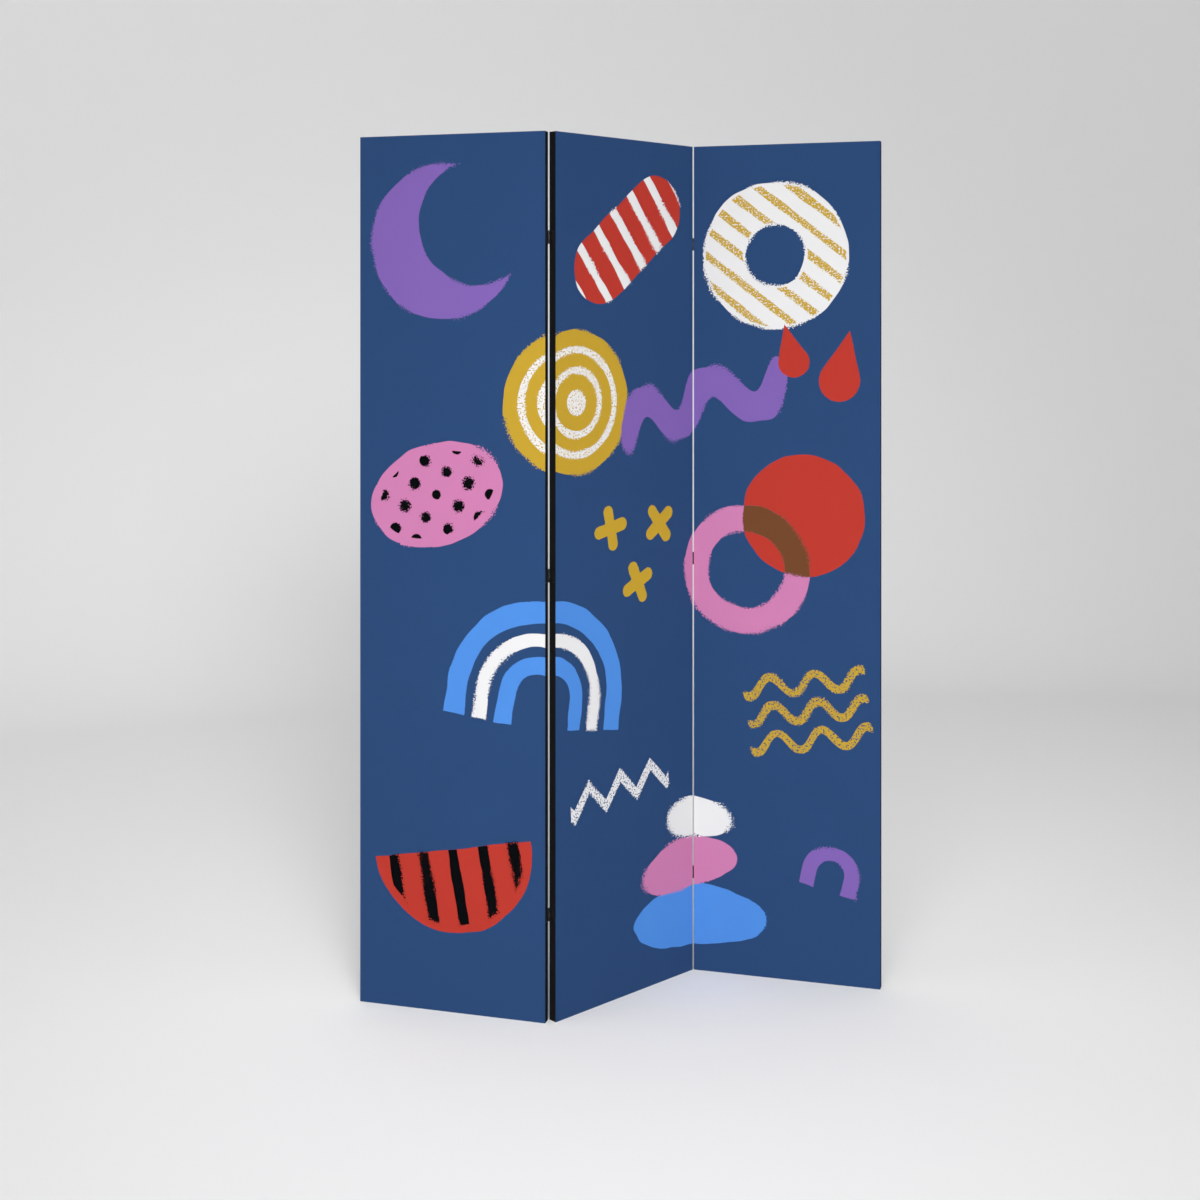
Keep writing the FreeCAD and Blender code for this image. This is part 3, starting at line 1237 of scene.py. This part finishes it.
@dataclass(frozen=True)
class Panel:
    """One panel: its frame, and the sheet over each face."""

    name: str
    place: Place
    print_start: float
    sizes: ScreenSizes = SIZES
    cell: float = 0.015
    slack: float = 0.0003
    slack_reach: float = 0.030
    hem_radius: float = 0.00012
    easing: float = 0.0006
    flat_within: float = math.radians(1)

    def frame_nodes(self) -> list[str]:
        """The panel's timber pieces.

        Returns:
            Their packed names, the stiles first.
        """
        stiles = [f"{self.name}_{side.name.lower()}_stile" for side in Side]
        rails = ("bottom_rail", "lower_cross_rail", "upper_cross_rail", "top_rail")
        return stiles + [f"{self.name}_{rail}" for rail in rails]

    def build_sheet(self, face: Face) -> Object:
        """Stretches a sheet of canvas over one face of the frame.

        Args:
            face: the face of the panel.

        Returns:
            The sheet.
        """
        sizes = self.sizes
        words = {Face.FRONT: "printed", Face.REAR: "plain"}
        deselect_all()
        bpy.ops.mesh.primitive_grid_add(
            x_subdivisions=round(sizes.panel_width / self.cell),
            y_subdivisions=round(sizes.panel_height / self.cell),
            size=1,
            location=(0, -sizes.panel_depth / 2, sizes.panel_height / 2),
            rotation=(math.pi / 2, 0, 0),
        )
        bpy.context.active_object.scale = (sizes.panel_width, sizes.panel_height, 1)
        sheet = name_active(f"{self.name}_{words[face]}_sheet")
        for point in sheet.data.vertices:
            point.co.y += self.dip(point.co.x, point.co.z)
        finish_with(sheet, "SOLIDIFY", thickness=sizes.canvas_gauge, offset=-1, use_rim=True)
        ease_edges(sheet, self.hem_radius)
        if face is Face.REAR:
            with editing(sheet, whole=True):
                bpy.ops.transform.rotate(value=math.pi, orient_axis="Z", center_override=(0, 0, 0))
        self.lay_out(sheet)
        sheet.data.transform(self.place.matrix())
        smooth(sheet)
        return sheet

    def dip(self, across: float, up: float) -> float:
        """How far the cloth lies behind the frame's face between its members.

        Args:
            across: metres from the panel's middle line.
            up: metres above the floor.

        Returns:
            The depth, nought over the timber.
        """
        sizes = self.sizes
        spans = sizes.rail_spans()
        room_across = sizes.stile_inside - abs(across)
        gaps = [(low, high) for (_, low), (high, _) in zip(spans, spans[1:])]
        room_up = max(min(up - low, high - up) for low, high in gaps)
        room = max(0.0, min(room_across, room_up, self.slack_reach)) / self.slack_reach
        # an S-curve, level at both ends, leaves no crease
        return self.slack * room * room * (3 - 2 * room)

    def lay_out(self, sheet: Object) -> None:
        """Maps the sheet flat, in metres from the lower left corner of all three.

        Args:
            sheet: the sheet, in the panel's own coordinates.
        """
        maps = sheet.data.uv_layers
        while maps:
            maps.remove(maps[0])
        layer = maps.new(name=SHEET_MAP)
        start = self.print_start + self.sizes.half_width
        for loop in sheet.data.loops:
            point = sheet.data.vertices[loop.vertex_index].co
            layer.data[loop.index].uv = (start + point.x, point.z)

    def build_timber(self, node: str) -> Object:
        """A frame piece with the edges that show eased.

        Args:
            node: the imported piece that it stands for.

        Returns:
            The eased piece.
        """
        piece = copy_of(frame["nodes"][node], f"{node}_eased")
        # the copy is a piece of its own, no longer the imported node
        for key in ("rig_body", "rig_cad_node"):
            del piece[key]
        piece.parent = None
        piece.matrix_world = Matrix()
        piece.data.transform(self.place.matrix().inverted())
        take_up(piece)
        bpy.ops.mesh.customdata_custom_splitnormals_clear()
        with editing(piece, whole=True):
            bpy.ops.mesh.remove_doubles(threshold=CLOSE)
            bpy.ops.mesh.dissolve_limited(angle_limit=self.flat_within)
        spans = [(min(values), max(values)) for values in zip(*(v.co for v in piece.data.vertices))]
        with editing(piece, "EDGE"):
            pick_edges(piece, lambda start, end: on_rim(start, end, spans))
            bpy.ops.mesh.bevel(offset=self.easing, segments=ROUND_STEPS, affect="EDGES")
        piece.data.transform(self.place.matrix())
        smooth(piece)
        return piece


def on_rim(start: Vector, end: Vector, spans: list[tuple[float, float]]) -> bool:
    """Whether an edge runs along the rim of the box that holds its piece.

    Args:
        start, end: the edge's two ends.
        spans: the box's extent along each axis.

    Returns:
        True where both ends lie on the same two sides of the box.
    """
    sides = 0
    for first, last, span in zip(start, end, spans):
        sides += sum(max(abs(first - limit), abs(last - limit)) < CLOSE for limit in span)
    return sides >= 2


@dataclass(frozen=True)
class ButtHinge:
    """A small butt hinge about its own axis, along Z, in millimetres.

    The plate that is screwed to the centre panel lies on the +X side, and the other on the -X side.
    """

    leaf_height: float = 27.0
    leaf_width: float = 15.0
    leaf_gauge: float = 0.7
    corner_radius: float = 1.5
    knuckles: int = 3
    knuckle_radius: float = 1.25
    knuckle_gap: float = 0.15
    axis_to_back: float = 1.5
    bore_radius: float = 0.70
    curl: float = math.radians(296)
    curl_steps: int = 26
    corner_steps: int = 6
    edge_radius: float = 0.07
    round_sides: int = 32
    pin_radius: float = 0.65
    pin_neck: float = 0.03
    pin_head_radius: float = 0.95
    pin_head_height: float = 0.20
    pin_dome_height: float = 0.13
    pin_dome_share: float = 0.6
    pin_sharp_angle: float = math.radians(60)
    screw_radius: float = 1.25
    screw_spacing: float = 15.0
    screw_length: float = 16.0
    screw_head_radius: float = 1.92
    screw_shank_share: float = 0.62
    screw_taper_share: float = 0.92
    screw_point_share: float = 0.12
    screw_fit: float = 0.06
    sink_depth: float = 0.65
    sink_overrun: float = 0.01
    recess_depth: float = 1.0
    recess_width: float = 0.32
    recess_span: float = 2.2
    recess_floor_shares: tuple[float, float] = (0.7, 0.34)

    @property
    def axis_to_front(self) -> float:
        """From the hinge's axis to the plate's front, which faces the other plate."""
        return self.axis_to_back - self.leaf_gauge

    @property
    def knuckle_length(self) -> float:
        """The length of one knuckle."""
        gaps = (self.knuckles - 1) * self.knuckle_gap
        return (self.leaf_height - gaps) / self.knuckles

    @property
    def screw_line(self) -> float:
        """From the hinge's axis to the line of the screws."""
        return (self.leaf_width + self.axis_to_back) / 2

    def screw_heights(self) -> tuple[float, float]:
        """Where the two screws are, above the hinge's middle."""
        return (-self.screw_spacing / 2, self.screw_spacing / 2)

    def build_leaf(self, name: str, side: Side, owned: tuple[int, ...]) -> Object:
        """A plate with countersunk holes, whose end curls round the pin.

        Args:
            name: the leaf's name.
            side: the side of the axis that the plate lies on.
            owned: which knuckles are this leaf's, counted from below.

        Returns:
            The leaf, in millimetres about the hinge's axis.
        """
        width = self.leaf_width - self.axis_to_back
        middle = Vector((self.axis_to_back - self.leaf_gauge / 2, -self.screw_line, 0))
        leaf = add_box(name, Vector((self.leaf_gauge, width, self.leaf_height)), middle)
        far = -self.leaf_width
        with editing(leaf, "EDGE"):
            pick_edges(
                leaf,
                lambda start, end: max(abs(start.y - far), abs(end.y - far), abs(start.z - end.z)) < CLOSE,
            )
            bpy.ops.mesh.bevel(offset=self.corner_radius, segments=self.corner_steps, affect="EDGES")
        self.mark_knuckles(leaf)
        for number in owned:
            self.curl_knuckle(leaf, number)
        mend_normals(leaf)
        for height in self.screw_heights():
            sink = self.screw_shape(f"{name}_sink", self.screw_fit)
            overrun = Matrix.Translation((0, 0, self.sink_overrun))
            sink.data.transform(self.screw_seat(Side.RIGHT, height) @ overrun)
            mend_normals(sink)
            cut_away(leaf, sink)
        ease_edges(leaf, self.edge_radius)
        leaf.data.transform(Matrix.Scale(side.value, MATRIX_SIZE, (1, 0, 0)))
        mend_normals(leaf)
        smooth(leaf)
        return leaf

    def knuckle_foot(self, number: int) -> float:
        """The lower end of a knuckle, counted from below, from the hinge's middle."""
        return -self.leaf_height / 2 + number * (self.knuckle_length + self.knuckle_gap)

    def mark_knuckles(self, leaf: Object) -> None:
        """Cuts lines into the plate at the ends of its knuckles, so that each end face stands alone.

        Args:
            leaf: the plate.
        """
        for number in range(self.knuckles):
            foot = self.knuckle_foot(number)
            for height in (foot, foot + self.knuckle_length):
                with editing(leaf, whole=True):
                    bpy.ops.mesh.bisect(plane_co=(0, 0, height), plane_no=(0, 0, 1))

    def curl_knuckle(self, leaf: Object, number: int) -> None:
        """Draws one stretch of the +X plate's end thinner and curls it round the pin.

        Args:
            leaf: the plate.
            number: the knuckle's place, counted from below.
        """
        middle_height = self.knuckle_foot(number) + self.knuckle_length / 2
        plate_middle = self.axis_to_back - self.leaf_gauge / 2
        wall = self.knuckle_radius - self.bore_radius
        wall_middle = (self.knuckle_radius + self.bore_radius) / 2
        with editing(leaf):
            pick_faces(
                leaf,
                lambda centre, normal: normal.y > FACING
                and abs(centre.z - middle_height) < self.knuckle_gap,
            )
            move = {"value": (wall_middle - plate_middle, self.axis_to_back, 0)}
            bpy.ops.mesh.extrude_region_move(TRANSFORM_OT_translate=move)
            thinner = wall / self.leaf_gauge
            bpy.ops.transform.resize(value=(thinner, 1, 1), center_override=(wall_middle, 0, middle_height))
            bpy.ops.mesh.spin(
                steps=self.curl_steps,
                angle=self.curl,
                center=(0, 0, middle_height),
                axis=(0, 0, -1),
            )

    def screw_seat(self, side: Side, height: float, twist: float = 0.0) -> Matrix:
        """The move of a screw from its own axis, along Z, into a plate.

        Args:
            side: the side of the hinge's axis that the plate lies on.
            height: how high the screw goes in, above the hinge's middle.
            twist: how far it is turned home.

        Returns:
            The move.
        """
        spot = Matrix.Translation((side.value * self.axis_to_front, -self.screw_line, height))
        return spot @ turned(-side.value * math.pi / 2, "Y") @ turned(twist)

    def screw_shape(self, name: str, growth: float = 0.0) -> Object:
        """A countersunk head on its shank, along Z, with the head's face up at nought.

        Args:
            name: the shape's name.
            growth: how much larger its radii are than the screw's, for the hole that it goes in.

        Returns:
            The closed shape.
        """
        land = self.leaf_gauge - self.sink_depth
        head_radius = self.screw_head_radius + growth
        shank = self.screw_length * self.screw_shank_share
        shape = add_round(name, head_radius, land, self.round_sides, Vector((0, 0, -land / 2)))
        with editing(shape):
            pick_faces(shape, lambda centre, normal: normal.z < -FACING)
            for length, share in (
                (self.sink_depth, (self.screw_radius + growth) / head_radius),
                (shank, self.screw_taper_share),
                (self.screw_length - self.leaf_gauge - shank, self.screw_point_share),
            ):
                draw_out(-length, share)
        return shape

    def build_screw(self, name: str) -> Object:
        """A wood screw with a cross recess, along Z, with the head's face up at nought.

        Args:
            name: the screw's name.

        Returns:
            The screw, in millimetres.
        """
        screw = self.screw_shape(name)
        wing = Vector((self.recess_width, self.recess_span, 2 * self.recess_depth))
        narrower, shorter = self.recess_floor_shares
        for quarter in (0.0, math.pi / 2):
            slot = add_box(f"{name}_slot", wing, Vector((0, 0, 0)))
            with editing(slot):
                pick_faces(slot, lambda centre, normal: normal.z < -FACING)
                bpy.ops.transform.resize(value=(narrower, shorter, 1))
            slot.data.transform(turned(quarter))
            cut_away(screw, slot)
        mend_normals(screw)
        smooth(screw)
        return screw

    def build_pin(self, name: str) -> Object:
        """The pin, riveted to a low dome at both ends.

        Args:
            name: the pin's name.

        Returns:
            The pin, in millimetres about the hinge's axis.
        """
        pin = add_round(name, self.pin_radius, self.leaf_height, self.round_sides, Vector((0, 0, 0)))
        spread = self.pin_head_radius / self.pin_radius
        for end in (-1, 1):
            with editing(pin):
                pick_faces(pin, lambda centre, normal: normal.z * end > FACING)
                for rise, share in (
                    (self.pin_neck, spread),
                    (self.pin_head_height, 1.0),
                    (self.pin_dome_height, self.pin_dome_share),
                ):
                    draw_out(end * rise, share)
        mend_normals(pin)
        smooth(pin, self.pin_sharp_angle)
        return pin


@dataclass(frozen=True)
class Camera:
    """The camera, level, at chest height."""

    x: float = -0.890
    y: float = -3.398
    eye_height: float = 1.386
    azimuth: float = math.radians(-13.86)
    lens_mm: float = 50.0
    sensor_mm: float = 36.0
    shift_up: float = -0.22

    def build(self) -> None:
        """Adds the camera and takes it into use."""
        deselect_all()
        bpy.ops.object.camera_add(
            location=(self.x, self.y, self.eye_height),
            rotation=(math.pi / 2, 0, self.azimuth),
        )
        camera = bpy.context.active_object
        camera.name = "camera"
        camera.data.lens = self.lens_mm
        camera.data.sensor_width = self.sensor_mm
        camera.data.shift_y = self.shift_up
        camera.data.dof.use_dof = False
        bpy.context.scene.camera = camera


@dataclass(frozen=True)
class Softbox:
    """A large square light that stays out of the picture, with a grid where its spread is narrow."""

    name: str
    place: Point
    aim: Point
    size: float
    power: float
    spread: float = math.pi

    def build(self) -> None:
        """Hangs the light and turns it to its aim."""
        deselect_all()
        bpy.ops.object.light_add(type="AREA", location=self.place)
        lamp = bpy.context.active_object
        lamp.name = self.name
        lamp.data.size = self.size
        lamp.data.energy = self.power
        lamp.data.spread = self.spread
        lamp.visible_camera = False
        direction = Vector(self.aim) - Vector(self.place)
        lamp.rotation_euler = direction.to_track_quat("-Z", "Y").to_euler()


@dataclass(frozen=True)
class Studio:
    """A round pale floor that bends up into a wall, under soft light."""

    wall_distance: float = 4.6
    wall_radius: float = 9.0
    wall_height: float = 9.0
    wall_sides: int = 120
    bend_radius: float = 1.8
    bend_steps: int = 20
    paper: Colour = (0.80, 0.80, 0.80, 1.0)
    paper_roughness: float = 0.9
    paper_specular: float = 0.1
    sky: Colour = (1.0, 1.0, 1.015, 1.0)
    sky_strength: float = 0.25
    softboxes: tuple[Softbox, ...] = (
        Softbox("front_light", (-1.0, -7.0, 5.5), (0.0, 0.0, 0.4), size=6.0, power=268.0),
        Softbox("fill_light", (3.8, -3.6, 3.2), (0.0, 0.0, 0.8), size=4.0, power=18.8),
        Softbox("side_light", (-6.0, -1.0, 3.5), (0.0, 0.5, 0.6), size=4.0, power=48.6),
        Softbox("wall_light", (-1.5, 1.4, 5.6), (-0.5, 4.6, 1.5), size=4.0, power=40.0),
        Softbox("far_light", (0.0, -9.0, 6.0), (0.0, -13.0, 2.5), size=5.0, power=300.0),
        Softbox(
            "screen_light",
            (-0.5, -6.0, 3.2),
            (0.0, 0.0, 0.8),
            size=2.0,
            power=18.2,
            spread=math.radians(40),
        ),
        Softbox(
            "foot_light",
            (-3.0, -4.8, 4.5),
            (0.0, -0.7, 0.0),
            size=2.0,
            power=5.0,
            spread=math.radians(35),
        ),
    )

    def build(self) -> None:
        """Adds the floor with its wall, the lights and the tone of the picture."""
        self.build_backdrop()
        for softbox in self.softboxes:
            softbox.build()
        world = bpy.data.worlds.new("studio")
        world.use_nodes = True
        background = world.node_tree.nodes["Background"]
        background.inputs["Color"].default_value = self.sky
        background.inputs["Strength"].default_value = self.sky_strength
        bpy.context.scene.world = world
        bpy.context.scene.view_settings.view_transform = "Standard"

    def build_backdrop(self) -> None:
        """Makes the floor, whose rim bends up into a wall behind the object and far round it."""
        deselect_all()
        middle = Vector((0.0, self.wall_distance - self.wall_radius, 0.0))
        flat_radius = self.wall_radius - self.bend_radius
        bpy.ops.mesh.primitive_circle_add(
            vertices=self.wall_sides, radius=flat_radius, fill_type="NOTHING", location=middle
        )
        backdrop = name_active("backdrop")
        with editing(backdrop, "EDGE", whole=True):
            radius, height = flat_radius, 0.0
            for step in range(1, self.bend_steps + 1):
                angle = math.pi / 2 * step / self.bend_steps
                next_radius = flat_radius + self.bend_radius * math.sin(angle)
                next_height = self.bend_radius * (1 - math.cos(angle))
                draw_out(next_height - height, next_radius / radius, middle)
                radius, height = next_radius, next_height
            draw_out(self.wall_height - height, 1.0, middle)
            pick_edges(backdrop, lambda start, end: max(start.z, end.z) < CLOSE)
            bpy.ops.mesh.edge_face_add()
            bpy.ops.mesh.select_all(action="SELECT")
            bpy.ops.mesh.normals_make_consistent(inside=True)
        smooth(backdrop)
        settings = {
            "Base Color": self.paper,
            "Roughness": self.paper_roughness,
            "Specular IOR Level": self.paper_specular,
        }
        dress(backdrop, start_material("studio_paper", settings)[0])


@dataclass(frozen=True)
class FoldingScreen:
    """The whole screen: three panels, and the hinges of the two folds between them."""

    sizes: ScreenSizes = SIZES
    hinge: ButtHinge = ButtHinge()
    levels: tuple[str, ...] = ("bottom", "middle", "top")
    screw_turn: float = math.radians(55.6)

    def panels(self) -> list[Panel]:
        """The three panels where they stand.

        Returns:
            The panels, from left to right.
        """
        pivot_x = max(joint["pos_m"][0] for joint in frame["joints"])
        turn = self.sizes.panel_turn
        width = self.sizes.panel_width
        return [
            Panel("left_panel", Place(-2 * pivot_x, 0, 0, -turn), 0.0),
            Panel("centre_panel", Place(0, 0, 0, turn), width),
            Panel("right_panel", Place(2 * pivot_x, 0, 0, -turn), 2 * width),
        ]

    def build_panels(self) -> None:
        """Dresses the panels: sheets, stiles and rails."""
        printed = PrintedCanvas().material()
        plain = PlainCanvas().material()
        upright = PaintedTimber().material()
        for panel in self.panels():
            along = PaintedTimber(Grain.ALONG, panel.place.turn).material()
            timber = panel.frame_nodes()
            for face, finish, slot in (
                (Face.FRONT, printed, "printed_canvas"),
                (Face.REAR, plain, "plain_canvas"),
            ):
                sheet = panel.build_sheet(face)
                self.fit(sheet, finish, panel.name, f"{panel.name}_{face.name.lower()}_canvas", slot)
            for node in timber:
                paint = upright if node.endswith("stile") else along
                if node.endswith("cross_rail"):
                    dress(frame["nodes"][node], paint)
                else:
                    self.fit(panel.build_timber(node), paint, panel.name, node, "painted_timber")

    def build_hinges(self) -> None:
        """Dresses the hinges of both folds, each part modelled once and copied to its places."""
        enamel = HINGE_ENAMEL.material()
        pin_steel = PIN_STEEL.material()
        oxide = SCREW_OXIDE.material()
        hinge = self.hinge
        leaves = {
            "centre": hinge.build_leaf("centre_leaf", Side.RIGHT, (0, 2)),
            "outer": hinge.build_leaf("outer_leaf", Side.LEFT, (1,)),
        }
        pin = hinge.build_pin("pin")
        screw = hinge.build_screw("screw")
        for fold, half_turn, outer_body in (
            ("left_fold", 0.0, "left_panel"),
            ("right_fold", math.pi, "right_panel"),
        ):
            for leaf_name, side, turn, body in (
                ("centre", Side.RIGHT, half_turn + self.sizes.panel_turn, "centre_panel"),
                ("outer", Side.LEFT, half_turn - self.sizes.panel_turn, outer_body),
            ):
                screws: list[Object] = []
                for level in self.levels:
                    place = self.hinge_place(f"{fold}_{level}_hinge_pin", turn)
                    leaf = self.set_in_place(leaves[leaf_name], f"{fold}_{level}_{leaf_name}_leaf", place)
                    self.fit(leaf, enamel, body, f"{fold}_{level}_hinge_{leaf_name}_leaf", "hinge_steel")
                    screws += self.drive_pair(screw, side, place, len(screws))
                row = self.join(screws, f"{fold}_{leaf_name}_wood_screws")
                self.fit(row, oxide, body, f"{fold}_{leaf_name}_screws", "screw_steel")
            for level in self.levels:
                node = f"{fold}_{level}_hinge_pin"
                piece = self.set_in_place(pin, f"{fold}_{level}_riveted_pin", self.hinge_place(node, 0.0))
                self.fit(piece, pin_steel, "centre_panel", node, "pin_steel")
        for master in (*leaves.values(), pin, screw):
            bpy.data.objects.remove(master)

    def drive_pair(self, master: Object, side: Side, place: Place, before: int) -> list[Object]:
        """The two screws of one leaf, each turned home to another place.

        Args:
            master: the screw that they are copies of.
            side: the side of the hinge's axis that the leaf lies on.
            place: where the hinge is.
            before: how many screws of the row are in already.

        Returns:
            The screws, in place.
        """
        pair = []
        for number, height in enumerate(self.hinge.screw_heights(), start=before):
            seat = self.hinge.screw_seat(side, height, self.screw_turn * number)
            pair.append(self.set_in_place(master, f"screw_{number}", place, seat))
        return pair

    @staticmethod
    def hinge_place(pin_node: str, turn: float) -> Place:
        """Where a hinge is, at the middle of its packed pin.

        Args:
            pin_node: the pin's packed name.
            turn: the turn of the panel that the part lies on.

        Returns:
            The place.
        """
        low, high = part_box(pin_node)
        middle = (low + high) / 2
        return Place(middle.x, middle.y, middle.z, turn)

    @staticmethod
    def set_in_place(master: Object, name: str, place: Place, seat: Matrix | None = None) -> Object:
        """A copy of a part modelled in millimetres, brought to its place in metres.

        Args:
            master: the part.
            name: the copy's name.
            place: where the hinge is.
            seat: the move from the part's own axis to the hinge's, where they differ.

        Returns:
            The copy.
        """
        copy = copy_of(master, name)
        copy.data.transform(place.matrix(MILLIMETRE) @ (seat or Matrix()))
        return copy

    @staticmethod
    def join(pieces: list[Object], name: str) -> Object:
        """Joins like pieces into one object, each still a shell of its own.

        Args:
            pieces: the pieces.
            name: the name of what they become.

        Returns:
            The joined object.
        """
        take_up(pieces[0])
        for piece in pieces:
            piece.select_set(True)
        bpy.ops.object.join()
        pieces[0].name = pieces[0].data.name = name
        return pieces[0]

    @staticmethod
    def fit(piece: Object, finish: Material, body: str, node: str, slot: str) -> None:
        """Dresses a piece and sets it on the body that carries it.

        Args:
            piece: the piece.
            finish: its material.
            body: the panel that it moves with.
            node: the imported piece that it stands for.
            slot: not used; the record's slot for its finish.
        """
        dress(piece, finish)
        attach(piece, body)
        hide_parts(node)
        log.info("%s fitted to %s", piece.name, body)


def main() -> None:
    """Builds the studio and the screen, in the order that they are set up."""
    logging.basicConfig(level=logging.INFO, format="%(name)s: %(message)s")
    Camera().build()
    Studio().build()
    screen = FoldingScreen()
    screen.build_panels()
    screen.build_hinges()


if __name__ == "__main__":
    main()
